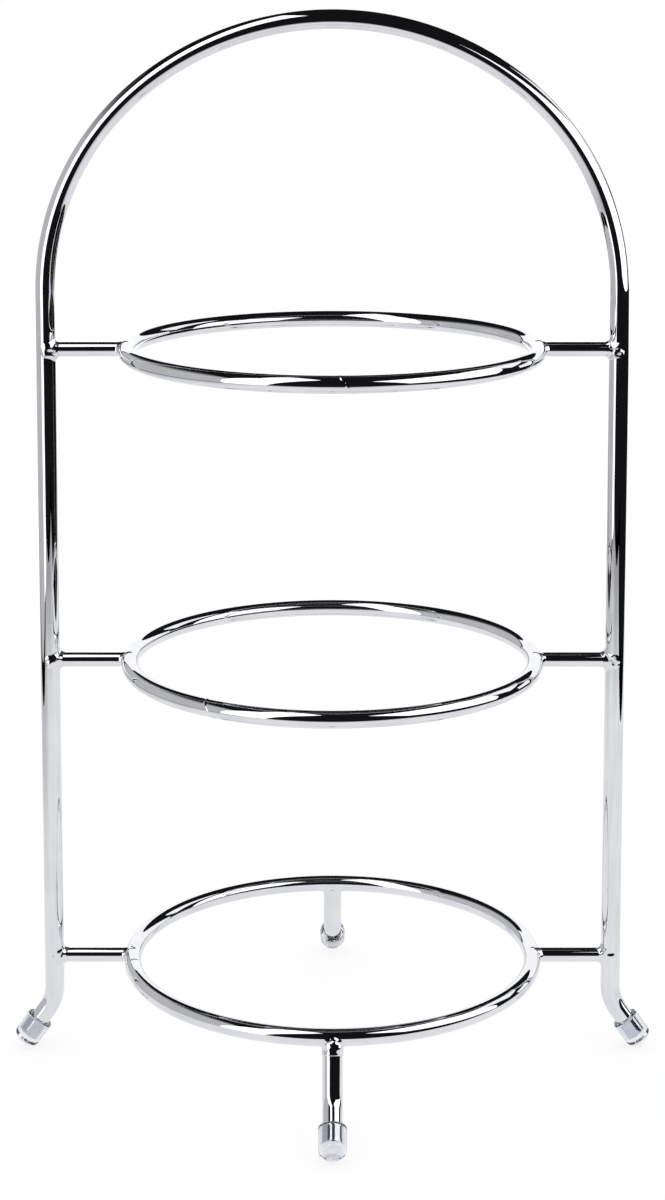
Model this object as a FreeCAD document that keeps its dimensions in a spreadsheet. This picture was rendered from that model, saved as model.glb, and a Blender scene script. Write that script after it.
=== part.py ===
"""Three-tier wire cake stand: one bent wire is handle, uprights and side feet; three plate rings sit
inside it on short arms; two legs stand under the bottom ring; clear caps cover the four feet.

Frame: millimetres, +Z up, origin on the floor under the middle of the rings, X from upright to
upright, the front at -Y.
"""
import FreeCAD, Part
import math
import os

import Sketcher
from FreeCAD import Placement, Rotation, Vector

SIZES = {
    # wire diameters
    "frame_wire": 8.0,            # the hoop frame and the two legs
    "ring_wire": 7.0,             # the three plate rings
    "arm_wire": 6.0,              # the six arms
    # plan
    "ring_radius": 83.75,         # centre line of each plate ring
    "arm_span": 33.25,            # ring centre line to upright centre line
    # heights of centre lines
    "bottom_ring_height": 39.75,  # bottom ring above the floor
    "tier_pitch": 129.0,          # from one ring to the next
    "middle_ring_drop": 1.25,     # how far the middle ring sits below the half-way height
    "handle_shank": 23.75,        # top ring to where the handle arch springs
    # handle arch: a crown arc between two tighter shoulder arcs
    "shoulder_offset": 10.0,      # each shoulder arc's centre, out from the middle
    "crown_extra": 6.0,           # crown radius, beyond half the hoop's width
    # splayed side feet
    "side_bend_height": 26.6,     # where the straight upright ends
    "side_bend_radius": 18.0,
    "side_splay": 35.5,           # degrees from upright
    # front and rear legs
    "leg_lean": 21.8,             # degrees from upright, at the ring
    "leg_bend_height": 19.6,      # where the leaning stretch ends
    "leg_bend_radius": 12.0,
    "leg_splay": 52.0,            # degrees from upright, at the foot
    "leg_tip_height": 1.4,        # coped end of the leg, past the ring's centre
    "leg_tip_round": 1.3,
    "wire_end_round": 0.5,        # broken edge of each sawn foot end
    # soft caps
    "cap_wall": 1.55,
    "cap_grip": 8.0,              # depth of the cap's bore
    "cap_end_wall": 4.25,
    "cap_end_round": 3.0,
    "cap_mouth_round": 0.7,
    "cap_fit_gap": 0.05,          # between cap and wire, all round
    # welds
    "upright_weld": 0.9,          # leg of the fillet between arm and upright
    "ring_weld": 0.45,            # leg of the fillet between arm and ring
    "leg_weld_throat": 0.7,       # thickness of the leg's bead on the ring
    "leg_weld_reach": 1.0,        # how far the bead spreads past the leg's skin
    "leg_weld_drop": 1.8,         # bead's centre, down the leg from the ring's centre
}

# Worked sizes, as expression text.
HALF_WIDTH = "(Sizes.ring_radius + Sizes.arm_span)"
SHOULDER_RADIUS = f"({HALF_WIDTH} - Sizes.shoulder_offset)"
CROWN_RADIUS = f"({HALF_WIDTH} + Sizes.crown_extra)"
BOTTOM = "Sizes.bottom_ring_height"
MIDDLE = f"({BOTTOM} + Sizes.tier_pitch - Sizes.middle_ring_drop)"
TOP = f"({BOTTOM} + 2 * Sizes.tier_pitch)"
SPRING_HEIGHT = f"({TOP} + Sizes.handle_shank)"
SIDE_SPLAY = "(Sizes.side_splay * 1 deg)"
LEG_LEAN = "(Sizes.leg_lean * 1 deg)"
LEG_SPLAY = "(Sizes.leg_splay * 1 deg)"
LEG_BEND_REACH = f"(Sizes.ring_radius + ({BOTTOM} - Sizes.leg_bend_height) * tan({LEG_LEAN}))"
CAP_BORE = "(Sizes.frame_wire + 2 * Sizes.cap_fit_gap)"
CAP_DIAMETER = f"({CAP_BORE} + 2 * Sizes.cap_wall)"
CAP_LENGTH = "(Sizes.cap_grip + Sizes.cap_end_wall)"

TIERS = {"top": TOP, "middle": MIDDLE, "bottom": BOTTOM}
WAYS = ("right", "rear", "left", "front")   # a quarter turn apart about Z, from +X
SIDES = ("right", "left")             # the ways with an upright
ENDS = ("rear", "front")              # the ways with a leg

START, END, CENTRE = range(1, 4)      # a sketch curve's points
X_AXIS = -1                           # the sketch's own horizontal axis
ORIGIN = (X_AXIS, START)              # the sketch's own origin

doc = FreeCAD.newDocument("tiered_cake_stand")
nodes = []


def make_sheet():
    """Write the driving dimensions into the spreadsheet, each with its alias."""
    sheet = doc.addObject("Spreadsheet::Sheet", "Sizes")
    for row, (name, value) in enumerate(SIZES.items(), start=1):
        sheet.set(f"A{row}", name)
        sheet.set(f"B{row}", str(value))
        sheet.setAlias(f"B{row}", name)
    doc.recompute()


def read(expression):
    """The number that an expression gives with the sheet's present sizes; angles in degrees."""
    return float(doc.getObject("Sizes").evalExpression(expression))


def mouth_height(splay):
    """Height of a cap's mouth when its rounded end, tilted by splay, just touches the floor."""
    return (f"(({CAP_LENGTH} - Sizes.cap_end_round) * cos({splay})"
            f" + ({CAP_DIAMETER} / 2 - Sizes.cap_end_round) * sin({splay}) + Sizes.cap_end_round)")


def wire_end_height(splay):
    """Height of the wire's end, a fit gap short of the bottom of the cap's bore."""
    return f"({mouth_height(splay)} - (Sizes.cap_grip - Sizes.cap_fit_gap) * cos({splay}))"


def mouth_reach(bend_reach, lean, splay, bend_height, bend_radius):
    """Distance from the Z axis to the mouth of a cap. The wire leaning by lean comes to
    (bend_reach, bend_height), bends outwards on bend_radius and runs on tilted by splay."""
    knee_height = f"({bend_height} - {bend_radius} * (sin({splay}) - sin({lean})))"
    return (f"({bend_reach} + {bend_radius} * (cos({lean}) - cos({splay}))"
            f" + ({knee_height} - {mouth_height(splay)}) * tan({splay}))")


# Helpers for bodies and sketches.

def new_body(label):
    """Start a sub-part; its label names its file."""
    body = doc.addObject("PartDesign::Body", label)
    body.Label = label
    nodes.append(body)
    return body


def new_sketch(body, name, role):
    """Start a sketch on one of the body's own origin planes."""
    sketch = body.newObject("Sketcher::SketchObject", f"{body.Name}_{name}")
    plane = next(f for f in body.Origin.OriginFeatures if f.Role == role)
    sketch.AttachmentSupport = [(plane, "")]
    sketch.MapMode = "FlatFace"
    return sketch


def fix(sketch, kind, *where):
    """Add a constraint that has no size."""
    sketch.addConstraint(Sketcher.Constraint(kind, *where))


def drive(sketch, expression, kind, *where):
    """Add a dimension to the sketch and bind it to the sheet."""
    value = read(expression)
    if kind == "Angle":
        value = FreeCAD.Units.Quantity(f"{value} deg")
    index = sketch.addConstraint(Sketcher.Constraint(kind, *where, value))
    sketch.setExpression(f"Constraints[{index}]", expression)


def add_circle(sketch, x, diameter):
    """Draw a circle with its centre on the sketch's X axis, x from the origin, or at it."""
    centre = Vector(read(x), 0, 0) if x else Vector(0, 0, 0)
    circle = sketch.addGeometry(Part.Circle(centre, Vector(0, 0, 1), read(diameter) / 2))
    drive(sketch, diameter, "Diameter", circle)
    if x:
        fix(sketch, "PointOnObject", circle, CENTRE, X_AXIS)
        drive(sketch, x, "DistanceX", *ORIGIN, circle, CENTRE)
    else:
        fix(sketch, "Coincident", circle, CENTRE, *ORIGIN)


def arc(centre, radius, start, end):
    """An arc from start to end, in degrees anticlockwise."""
    circle = Part.Circle(centre, Vector(0, 0, 1), radius)
    return Part.ArcOfCircle(circle, math.radians(start), math.radians(end))


def polar(centre, radius, degrees):
    """The point at an angle on a circle."""
    angle = math.radians(degrees)
    return centre + Vector(radius * math.cos(angle), radius * math.sin(angle), 0)


def join_smoothly(sketch, *joints):
    """Make each pair of curve ends meet without a corner."""
    for first, first_end, second, second_end in joints:
        fix(sketch, "Tangent", first, first_end, second, second_end)


def sweep_wire(body, path, diameter):
    """Sweep a round section of the diameter along the path sketch."""
    section = body.newObject("Sketcher::SketchObject", f"{body.Name}_section")
    section.AttachmentSupport = [(path, "Edge1")]
    section.MapMode = "NormalToEdge"
    section.MapPathParameter = 0
    add_circle(section, None, diameter)
    doc.recompute()
    wire = body.newObject("PartDesign::AdditivePipe", f"{body.Name}_wire")
    wire.Profile = section
    wire.Spine = (path, [f"Edge{i + 1}" for i in range(len(path.Shape.Edges))])
    doc.recompute()


def turn_once(body, sketch, kind, axis):
    """Turn the sketch once about one of its own axes, as a Revolution or a Groove."""
    turned = body.newObject(f"PartDesign::{kind}", f"{sketch.Name}_turned")
    turned.Profile = sketch
    turned.ReferenceAxis = (sketch, [axis])
    turned.Angle = 360
    doc.recompute()


def round_edges(body, name, diameter, radius, wanted):
    """Fillet the circular edges of the diameter whose centre passes the test wanted."""
    base = body.Tip
    edges = []
    for index, edge in enumerate(base.Shape.Edges, start=1):
        curve = edge.Curve
        if isinstance(curve, Part.Circle) and abs(2 * curve.Radius - read(diameter)) < 1e-4:
            if wanted(curve.Center):
                edges.append(f"Edge{index}")
    rounded = body.newObject("PartDesign::Fillet", f"{body.Name}_{name}")
    rounded.Base = (base, edges)
    rounded.Radius = read(radius)
    rounded.setExpression("Radius", radius)
    doc.recompute()


def check_cut(body, before):
    """Stop if the last cut took nothing away."""
    if body.Shape.Volume > before - 1e-6:
        raise RuntimeError(f"{body.Label}: a cut took nothing away")


def cope_to_upright(body):
    """Cut the upright's round out of the body, so that the body sits on it like a saddle."""
    before = body.Shape.Volume
    seat = new_sketch(body, "upright_seat", "XY_Plane")
    add_circle(seat, HALF_WIDTH, "Sizes.frame_wire")
    cut = body.newObject("PartDesign::Pocket", f"{body.Name}_upright_cope")
    cut.Profile = seat
    cut.Type = "ThroughAll"
    cut.Midplane = True
    doc.recompute()
    check_cut(body, before)


def cope_to_ring(body, height=None):
    """Cut the ring's round out of the body, with the ring in the XY plane or at a height."""
    before = body.Shape.Volume
    seat = new_sketch(body, "ring_seat", "XZ_Plane")
    centre = Vector(read("Sizes.ring_radius"), read(height) if height else 0, 0)
    seat.addGeometry(Part.Circle(centre, Vector(0, 0, 1), read("Sizes.ring_wire") / 2))
    drive(seat, "Sizes.ring_wire", "Diameter", 0)
    drive(seat, "Sizes.ring_radius", "DistanceX", *ORIGIN, 0, CENTRE)
    if height:
        drive(seat, height, "DistanceY", *ORIGIN, 0, CENTRE)
    else:
        fix(seat, "PointOnObject", 0, CENTRE, X_AXIS)
    turn_once(body, seat, "Groove", "V_Axis")
    check_cut(body, before)


def heading(way):
    """The way's angle about Z from +X, in degrees."""
    return 90 * WAYS.index(way)


def aim(body, way):
    """Turn a body that is drawn towards +X until it points the named way."""
    body.Placement = Placement(Vector(0, 0, 0), Rotation(Vector(0, 0, 1), heading(way)))


def shift(thing, way, reach, height):
    """Move a thing outwards the named way by reach, and up to a height."""
    thing.setExpression("Placement.Base.x", f"{reach} * cos({heading(way)} deg)")
    thing.setExpression("Placement.Base.y", f"{reach} * sin({heading(way)} deg)")
    thing.setExpression("Placement.Base.z", height)


def lift(body, height):
    """Raise a body to a height."""
    body.setExpression("Placement.Base.z", height)


# The hoop frame: foot, upright, handle arch, upright and foot in one wire.

def make_hoop_frame():
    """Sweep the frame wire along lines and arcs from the left foot over the arch to the right."""
    body = new_body("hoop_frame")
    path = new_sketch(body, "path", "XZ_Plane")
    half, spring = read(HALF_WIDTH), read(SPRING_HEIGHT)
    bend, bend_radius = read("Sizes.side_bend_height"), read("Sizes.side_bend_radius")
    splay, offset = read(SIDE_SPLAY), read("Sizes.shoulder_offset")
    shoulder, crown = read(SHOULDER_RADIUS), read(CROWN_RADIUS)
    crown_drop = math.sqrt((crown - shoulder) ** 2 - offset ** 2)
    meet = math.degrees(math.atan2(crown_drop, offset))
    left_bend = Vector(-half - bend_radius, bend, 0)
    right_bend = Vector(half + bend_radius, bend, 0)
    left_knee = polar(left_bend, bend_radius, -splay)
    right_knee = polar(right_bend, bend_radius, 180 + splay)
    foot_drop = right_knee.y - read(wire_end_height(SIDE_SPLAY))
    foot = Vector(foot_drop * math.tan(math.radians(splay)), -foot_drop, 0)
    path.addGeometry([
        Part.LineSegment(left_knee + Vector(-foot.x, foot.y, 0), left_knee),
        arc(left_bend, bend_radius, -splay, 0),
        Part.LineSegment(Vector(-half, bend, 0), Vector(-half, spring, 0)),
        arc(Vector(-offset, spring, 0), shoulder, 180 - meet, 180),
        arc(Vector(0, spring - crown_drop, 0), crown, meet, 180 - meet),
        arc(Vector(offset, spring, 0), shoulder, 0, meet),
        Part.LineSegment(Vector(half, spring, 0), Vector(half, bend, 0)),
        arc(right_bend, bend_radius, 180, 180 + splay),
        Part.LineSegment(right_knee, right_knee + foot),
    ], False)
    (left_foot, left_turn, left_upright, left_shoulder, crown_arc,
     right_shoulder, right_upright, right_turn, right_foot) = range(9)
    join_smoothly(
        path,
        (left_foot, END, left_turn, START),
        (left_turn, END, left_upright, START),
        (left_upright, END, left_shoulder, END),
        (left_shoulder, START, crown_arc, END),
        (crown_arc, START, right_shoulder, END),
        (right_shoulder, START, right_upright, START),
        (right_upright, END, right_turn, START),
        (right_turn, END, right_foot, START),
    )
    fix(path, "Vertical", left_upright)
    fix(path, "Vertical", right_upright)
    drive(path, HALF_WIDTH, "DistanceX", left_upright, START, *ORIGIN)
    drive(path, HALF_WIDTH, "DistanceX", *ORIGIN, right_upright, START)
    drive(path, SPRING_HEIGHT, "DistanceY", *ORIGIN, right_upright, START)
    fix(path, "Horizontal", left_upright, END, right_upright, START)
    drive(path, "Sizes.side_bend_height", "DistanceY", *ORIGIN, right_upright, END)
    fix(path, "Horizontal", left_upright, START, right_upright, END)
    drive(path, SHOULDER_RADIUS, "Radius", right_shoulder)
    fix(path, "Equal", left_shoulder, right_shoulder)
    drive(path, CROWN_RADIUS, "Radius", crown_arc)
    drive(path, "Sizes.side_bend_radius", "Radius", right_turn)
    fix(path, "Equal", left_turn, right_turn)
    drive(path, f"90 deg - {SIDE_SPLAY}", "Angle", left_foot)
    drive(path, f"{SIDE_SPLAY} - 90 deg", "Angle", right_foot)
    drive(path, wire_end_height(SIDE_SPLAY), "DistanceY", *ORIGIN, right_foot, END)
    fix(path, "Horizontal", left_foot, START, right_foot, END)
    doc.recompute()
    sweep_wire(body, path, "Sizes.frame_wire")
    round_edges(body, "sawn_ends", "Sizes.frame_wire", "Sizes.wire_end_round",
                lambda centre: centre.z < read(mouth_height(SIDE_SPLAY)))


# The plate rings and the arms that hold them.

def make_ring(tier):
    """Turn the ring wire's section once about Z."""
    body = new_body(f"{tier}_ring")
    section = new_sketch(body, "section", "XZ_Plane")
    add_circle(section, "Sizes.ring_radius", "Sizes.ring_wire")
    turn_once(body, section, "Revolution", "V_Axis")
    lift(body, TIERS[tier])


def make_arm(tier, side):
    """A straight wire from ring to upright, coped to both."""
    body = new_body(f"{tier}_{side}_arm")
    section = new_sketch(body, "section", "YZ_Plane")
    section.setExpression("AttachmentOffset.Base.z", "Sizes.ring_radius")
    add_circle(section, None, "Sizes.arm_wire")
    pad = body.newObject("PartDesign::Pad", f"{body.Name}_pad")
    pad.Profile = section
    pad.setExpression("Length", "Sizes.arm_span")
    doc.recompute()
    cope_to_upright(body)
    cope_to_ring(body)
    aim(body, side)
    lift(body, TIERS[tier])


def make_collar(label, face, inwards, weld):
    """Body of a weld fillet round an arm: a concave flare from the arm's skin up to the face,
    carried on into the wire behind the face. inwards is +1 if that wire is at larger x."""
    body = new_body(label)
    profile = new_sketch(body, "profile", "XZ_Plane")
    skin, leg, wall = read("Sizes.arm_wire / 2"), read(weld), read(face["skin"])
    core = read(face["core"])
    lip = wall - inwards * leg
    top = skin + leg
    quarter = (270, 360) if inwards > 0 else (180, 270)
    profile.addGeometry([
        arc(Vector(lip, top, 0), leg, *quarter),
        Part.LineSegment(Vector(wall, top, 0), Vector(core, top, 0)),
        Part.LineSegment(Vector(core, top, 0), Vector(core, skin, 0)),
        Part.LineSegment(Vector(core, skin, 0), Vector(lip, skin, 0)),
    ], False)
    flare, outside, back, bore = range(4)
    flare_top, flare_foot = (END, START) if inwards > 0 else (START, END)
    fix(profile, "Perpendicular", flare, flare_top, outside, START)
    fix(profile, "Coincident", outside, END, back, START)
    fix(profile, "Coincident", back, END, bore, START)
    fix(profile, "Tangent", bore, END, flare, flare_foot)
    fix(profile, "Horizontal", outside)
    fix(profile, "Horizontal", bore)
    fix(profile, "Vertical", back)
    drive(profile, weld, "Radius", flare)
    drive(profile, "Sizes.arm_wire / 2", "DistanceY", *ORIGIN, bore, START)
    drive(profile, face["skin"], "DistanceX", *ORIGIN, outside, START)
    drive(profile, face["core"], "DistanceX", *ORIGIN, back, START)
    turn_once(body, profile, "Revolution", "H_Axis")
    return body


def make_arm_welds(tier, side):
    """The two fillets of an arm: one on the upright, one on the ring."""
    upright_face = {"skin": f"{HALF_WIDTH} - Sizes.frame_wire / 2", "core": HALF_WIDTH}
    weld = make_collar(f"{tier}_{side}_upright_weld", upright_face, 1, "Sizes.upright_weld")
    cope_to_upright(weld)
    aim(weld, side)
    lift(weld, TIERS[tier])
    ring_face = {"skin": "Sizes.ring_radius + Sizes.ring_wire / 2", "core": "Sizes.ring_radius"}
    weld = make_collar(f"{tier}_{side}_ring_weld", ring_face, -1, "Sizes.ring_weld")
    cope_to_ring(weld)
    aim(weld, side)
    lift(weld, TIERS[tier])


# The front and rear legs.

def make_leg(end):
    """Sweep the frame wire from the bottom ring outwards and down, then cope it to the ring."""
    body = new_body(f"{end}_leg")
    path = new_sketch(body, "path", "XZ_Plane")
    lean, splay = read(LEG_LEAN), read(LEG_SPLAY)
    bend_radius = read("Sizes.leg_bend_radius")
    ring_centre = Vector(read("Sizes.ring_radius"), read(BOTTOM), 0)
    tip = polar(ring_centre, read("Sizes.leg_tip_height"), 90 + lean)
    bend_start = Vector(read(LEG_BEND_REACH), read("Sizes.leg_bend_height"), 0)
    bend_centre = polar(bend_start, bend_radius, lean)
    knee = polar(bend_centre, bend_radius, 180 + splay)
    foot_drop = knee.y - read(wire_end_height(LEG_SPLAY))
    foot = knee + Vector(foot_drop * math.tan(math.radians(splay)), -foot_drop, 0)
    path.addGeometry([
        Part.LineSegment(tip, bend_start),
        arc(bend_centre, bend_radius, 180 + lean, 180 + splay),
        Part.LineSegment(knee, foot),
    ], False)
    leaning, turn, standing = range(3)
    mark = path.addGeometry(Part.Point(ring_centre), True)
    join_smoothly(path, (leaning, END, turn, START), (turn, END, standing, START))
    drive(path, "Sizes.ring_radius", "DistanceX", *ORIGIN, mark, START)
    drive(path, BOTTOM, "DistanceY", *ORIGIN, mark, START)
    fix(path, "PointOnObject", mark, START, leaning)
    drive(path, "Sizes.leg_tip_height", "Distance", leaning, START, mark, START)
    drive(path, f"{LEG_LEAN} - 90 deg", "Angle", leaning)
    drive(path, f"{LEG_SPLAY} - 90 deg", "Angle", standing)
    drive(path, "Sizes.leg_bend_radius", "Radius", turn)
    drive(path, "Sizes.leg_bend_height", "DistanceY", *ORIGIN, turn, START)
    drive(path, wire_end_height(LEG_SPLAY), "DistanceY", *ORIGIN, standing, END)
    doc.recompute()
    sweep_wire(body, path, "Sizes.frame_wire")
    round_edges(body, "tip", "Sizes.frame_wire", "Sizes.leg_tip_round",
                lambda centre: centre.z > read(BOTTOM))
    round_edges(body, "sawn_end", "Sizes.frame_wire", "Sizes.wire_end_round",
                lambda centre: centre.z < read(mouth_height(LEG_SPLAY)))
    cope_to_ring(body, BOTTOM)
    aim(body, end)


def make_leg_weld(end):
    """A bead over the joint of leg and bottom ring: where a ball about the leg's top meets a
    thicker ring, with the leg and the ring themselves taken out."""
    label = f"{end}_leg_weld"
    ball = doc.addObject("Part::Sphere", f"{label}_ball")
    ball.setExpression("Radius", "Sizes.frame_wire / 2 + Sizes.leg_weld_reach")
    shift(ball, end, f"(Sizes.ring_radius + Sizes.leg_weld_drop * sin({LEG_LEAN}))",
          f"{BOTTOM} - Sizes.leg_weld_drop * cos({LEG_LEAN})")
    thick_ring = doc.addObject("Part::Torus", f"{label}_thick_ring")
    thick_ring.setExpression("Radius1", "Sizes.ring_radius")
    thick_ring.setExpression("Radius2", "Sizes.ring_wire / 2 + Sizes.leg_weld_throat")
    thick_ring.setExpression("Placement.Base.z", BOTTOM)
    bead = doc.addObject("Part::Common", f"{label}_blank")
    bead.Base, bead.Tool = ball, thick_ring
    off_leg = doc.addObject("Part::Cut", f"{label}_off_leg")
    off_leg.Base, off_leg.Tool = bead, doc.getObject(f"{end}_leg")
    weld = doc.addObject("Part::Cut", label)
    weld.Label = label
    weld.Base, weld.Tool = off_leg, doc.getObject("bottom_ring")
    doc.recompute()
    nodes.append(weld)


# The soft caps, drawn with the mouth at the origin and the closed end down.

def make_cap(way):
    """A round-ended cap with a blind bore, pushed over one foot's wire until its end touches
    the floor."""
    body = new_body(f"{way}_foot_cap")
    outside = new_sketch(body, "outside", "XY_Plane")
    add_circle(outside, None, CAP_DIAMETER)
    pad = body.newObject("PartDesign::Pad", f"{body.Name}_pad")
    pad.Profile = outside
    pad.Reversed = True
    pad.setExpression("Length", CAP_LENGTH)
    doc.recompute()
    before = body.Shape.Volume
    inside = new_sketch(body, "inside", "XY_Plane")
    add_circle(inside, None, CAP_BORE)
    bore = body.newObject("PartDesign::Pocket", f"{body.Name}_bore")
    bore.Profile = inside
    bore.setExpression("Length", "Sizes.cap_grip")
    doc.recompute()
    check_cut(body, before)
    halfway = -read(CAP_LENGTH) / 2
    round_edges(body, "end_round", CAP_DIAMETER, "Sizes.cap_end_round",
                lambda centre: centre.z < halfway)
    round_edges(body, "mouth_round", CAP_DIAMETER, "Sizes.cap_mouth_round",
                lambda centre: centre.z > halfway)
    if way in SIDES:
        splay = SIDE_SPLAY
        reach = mouth_reach(HALF_WIDTH, "0 deg", splay,
                            "Sizes.side_bend_height", "Sizes.side_bend_radius")
    else:
        splay = LEG_SPLAY
        reach = mouth_reach(LEG_BEND_REACH, LEG_LEAN, splay,
                            "Sizes.leg_bend_height", "Sizes.leg_bend_radius")
    across = math.radians(heading(way) - 90)
    tilt_axis = Vector(math.cos(across), math.sin(across), 0)
    body.Placement = Placement(Vector(0, 0, 0), Rotation(tilt_axis, read(splay)))
    body.setExpression("Placement.Rotation.Angle", splay)
    shift(body, way, reach, mouth_height(splay))
    doc.recompute()


def check_and_write():
    """Refuse a failed object or a broken shape, then write one STEP file for each sub-part."""
    for thing in doc.Objects:
        if {"Invalid", "Error"} & set(thing.State):
            raise RuntimeError(f"{thing.Label}: {thing.State}")
    for node in nodes:
        shape = node.Shape
        if shape.isNull() or not shape.isValid() or len(shape.Solids) != 1:
            raise RuntimeError(f"{node.Label}: not one valid solid")
    os.makedirs("parts", exist_ok=True)
    for node in nodes:
        node.Shape.exportStep(f"parts/{node.Label}.step")
        print(f"{node.Label:28s} {node.Shape.Volume:10.1f} mm3")


make_sheet()
make_hoop_frame()
for tier_name in TIERS:
    make_ring(tier_name)
for tier_name in TIERS:
    for side_name in SIDES:
        make_arm(tier_name, side_name)
        make_arm_welds(tier_name, side_name)
for end_name in ENDS:
    make_leg(end_name)
    make_leg_weld(end_name)
for way_name in WAYS:
    make_cap(way_name)
doc.recompute()
check_and_write()
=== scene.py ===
# %% [markdown]
# # A three-tier wire cake stand, dressed for its portrait
# The real stand is chromed steel wire: one long rod bent into feet, uprights and handle arch, three
# rings that carry plates, six short arms, two legs, and a soft clear cap on each of the four feet.
# The measured solids arrive as a fixed frame. This lesson adds what the eye wants on top of them:
# finer wires with their butt seams, rippled welds, chrome that mirrors a small studio, and caps
# that light passes through. Everything is in metres and stays where the frame says.

# %% Load the frame
import math

import bpy
import numpy as np
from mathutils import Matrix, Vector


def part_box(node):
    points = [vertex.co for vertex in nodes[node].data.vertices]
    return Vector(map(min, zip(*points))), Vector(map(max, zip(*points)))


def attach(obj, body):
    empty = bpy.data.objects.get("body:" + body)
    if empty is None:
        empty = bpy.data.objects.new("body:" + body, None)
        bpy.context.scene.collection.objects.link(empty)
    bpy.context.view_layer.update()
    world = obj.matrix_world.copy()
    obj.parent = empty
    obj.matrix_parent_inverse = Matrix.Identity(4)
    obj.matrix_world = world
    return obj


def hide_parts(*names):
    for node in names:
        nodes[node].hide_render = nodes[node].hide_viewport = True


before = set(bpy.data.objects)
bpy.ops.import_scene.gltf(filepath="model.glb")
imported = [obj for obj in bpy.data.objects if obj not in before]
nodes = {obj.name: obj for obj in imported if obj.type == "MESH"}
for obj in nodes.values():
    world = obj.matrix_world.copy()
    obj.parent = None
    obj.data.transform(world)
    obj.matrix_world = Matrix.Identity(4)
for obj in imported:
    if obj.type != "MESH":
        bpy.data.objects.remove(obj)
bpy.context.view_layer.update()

MM = 0.001

# %% [markdown]
# ## The maker's wire
# Wire is bought by diameter: a thick one for the hoop and the legs, a thinner one for the rings and
# a thinner one still for the arms. The diameters could be typed again for each piece, but then one
# change would leave pieces apart, so each is named once. The bends' sizes stand where they're used.

# %% Wire sizes
FRAME_WIRE = 8 * MM
RING_WIRE = 7 * MM
ARM_WIRE = 6 * MM
WIRE_END_ROUND = 0.5 * MM             # how far a sawn end's edge is rounded
print("wires in mm", [round(wire / MM, 1) for wire in (FRAME_WIRE, RING_WIRE, ARM_WIRE)])

# %% [markdown]
# ## Sizes that the frame already holds
# The rings' heights and radius could be typed too, but the frame's own solids have them. A solid's
# box gives its middle, and half a ring's width less half its wire is the radius of the circle that
# the wire's centre line follows. Read this way, they can't drift away from the frame.

# %% Ring heights and radius
TIERS = ("top", "middle", "bottom")


def middle_of(node):
    """The centre of a solid's box."""
    low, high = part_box(node)
    return (low + high) / 2


ring_height = {tier: middle_of(f"{tier}_ring").z for tier in TIERS}
ring_low, ring_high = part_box("top_ring")
RING_RADIUS = round((ring_high.x - ring_low.x) / 2 - RING_WIRE / 2, 5)
print("ring radius", RING_RADIUS, "ring heights", {t: round(z, 5) for t, z in ring_height.items()})

# %% [markdown]
# ## Faces over a grid of points
# Every wire here is a skin wrapped round something: each row of points is a loop round it, and the
# rows follow one another along it. Blender's own curve bevel could make plain tubes, but not a seam
# or a rippled weld, so the grid is worked out with numpy. Faces join neighbouring points, and a fan
# of triangles closes each open end. Every corner also gets its place on a UV map that is measured
# in metres, so that a finish can follow the wire.

# %% Faces and their UV corners
def one_more(values):
    """The values and one step more, as long as the last one."""
    return np.append(values, 2 * values[-1] - values[-2])


def wrap_faces(index, across, up, ends_meet):
    """Four-cornered faces between neighbouring rows and columns, and each corner's (across, up).
    Columns always close on themselves, and rows do if ends_meet."""
    below = index if ends_meet else index[:-1]
    above = np.roll(index, -1, axis=0) if ends_meet else index[1:]
    quads = np.stack([below, np.roll(below, -1, axis=1), np.roll(above, -1, axis=1), above], -1)
    flat = np.stack(np.meshgrid(across, up), -1)
    uv = np.stack([flat[:-1, :-1], flat[:-1, 1:], flat[1:, 1:], flat[1:, :-1]], 2)
    return quads.reshape(-1, 4), uv.reshape(-1, 2)


def fan_faces(row, pole, across, height, is_last):
    """Triangles from an end row to its pole, and their UV corners: the pole's corner lies halfway
    between the other two."""
    onward = np.roll(row, -1)
    poles = np.full(len(row), pole)
    level = np.full(len(row), height)
    near = np.stack([across[:-1], level], -1)
    far = np.stack([across[1:], level], -1)
    middle = (near + far) / 2
    if is_last:
        return np.stack([row, onward, poles], -1), np.stack([near, far, middle], 1).reshape(-1, 2)
    return np.stack([onward, row, poles], -1), np.stack([far, near, middle], 1).reshape(-1, 2)


trial = wrap_faces(np.arange(12).reshape(3, 4), np.arange(5), np.arange(3), False)[0]
print("a grid of 3 rows and 4 columns has", len(trial), "faces")

# %% [markdown]
# ## Which way the faces look
# The faces of a closed piece have to look outwards, or clear and bumpy finishes come out wrong.
# Blender can recalculate normals, but the volume inside says the same at once and is worth knowing
# for its own sake. Each triangle and the origin make a little pyramid, and the pyramids' volumes,
# with their signs, add up to the piece's: negative where all the faces look inwards.

# %% Volume inside faces
def enclosed_volume(points, faces):
    """Sum over the faces, cut into triangles, of a . (b x c) / 6: positive if they face outwards."""
    total = 0.0
    for corners in faces:
        first = points[corners[:, 0]]
        for k in range(1, corners.shape[1] - 1):
            second, third = points[corners[:, k]], points[corners[:, k + 1]]
            total += np.einsum("ij,ij->i", first, np.cross(second, third)).sum() / 6
    return total


cube = np.array([(x, y, z) for x in (0, 1) for y in (0, 1) for z in (0, 1)], float)
sides = np.array([(0, 1, 3, 2), (4, 6, 7, 5), (0, 4, 5, 1), (2, 3, 7, 6), (0, 2, 6, 4), (1, 5, 7, 3)])
print("a cube of 1 has a volume of", enclosed_volume(cube, [sides]))

# %% [markdown]
# ## From a grid to a closed piece
# One helper turns any grid into a finished piece of the stand. A Blender operator could do each
# step in turn, but handing over whole arrays is quicker and leaves nothing selected by accident.
# Where the volume comes out negative, each face and its UV corners are read backwards. The piece's
# object stays at the origin, with its place in its mesh, and it rides on the stand's one body.

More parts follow.
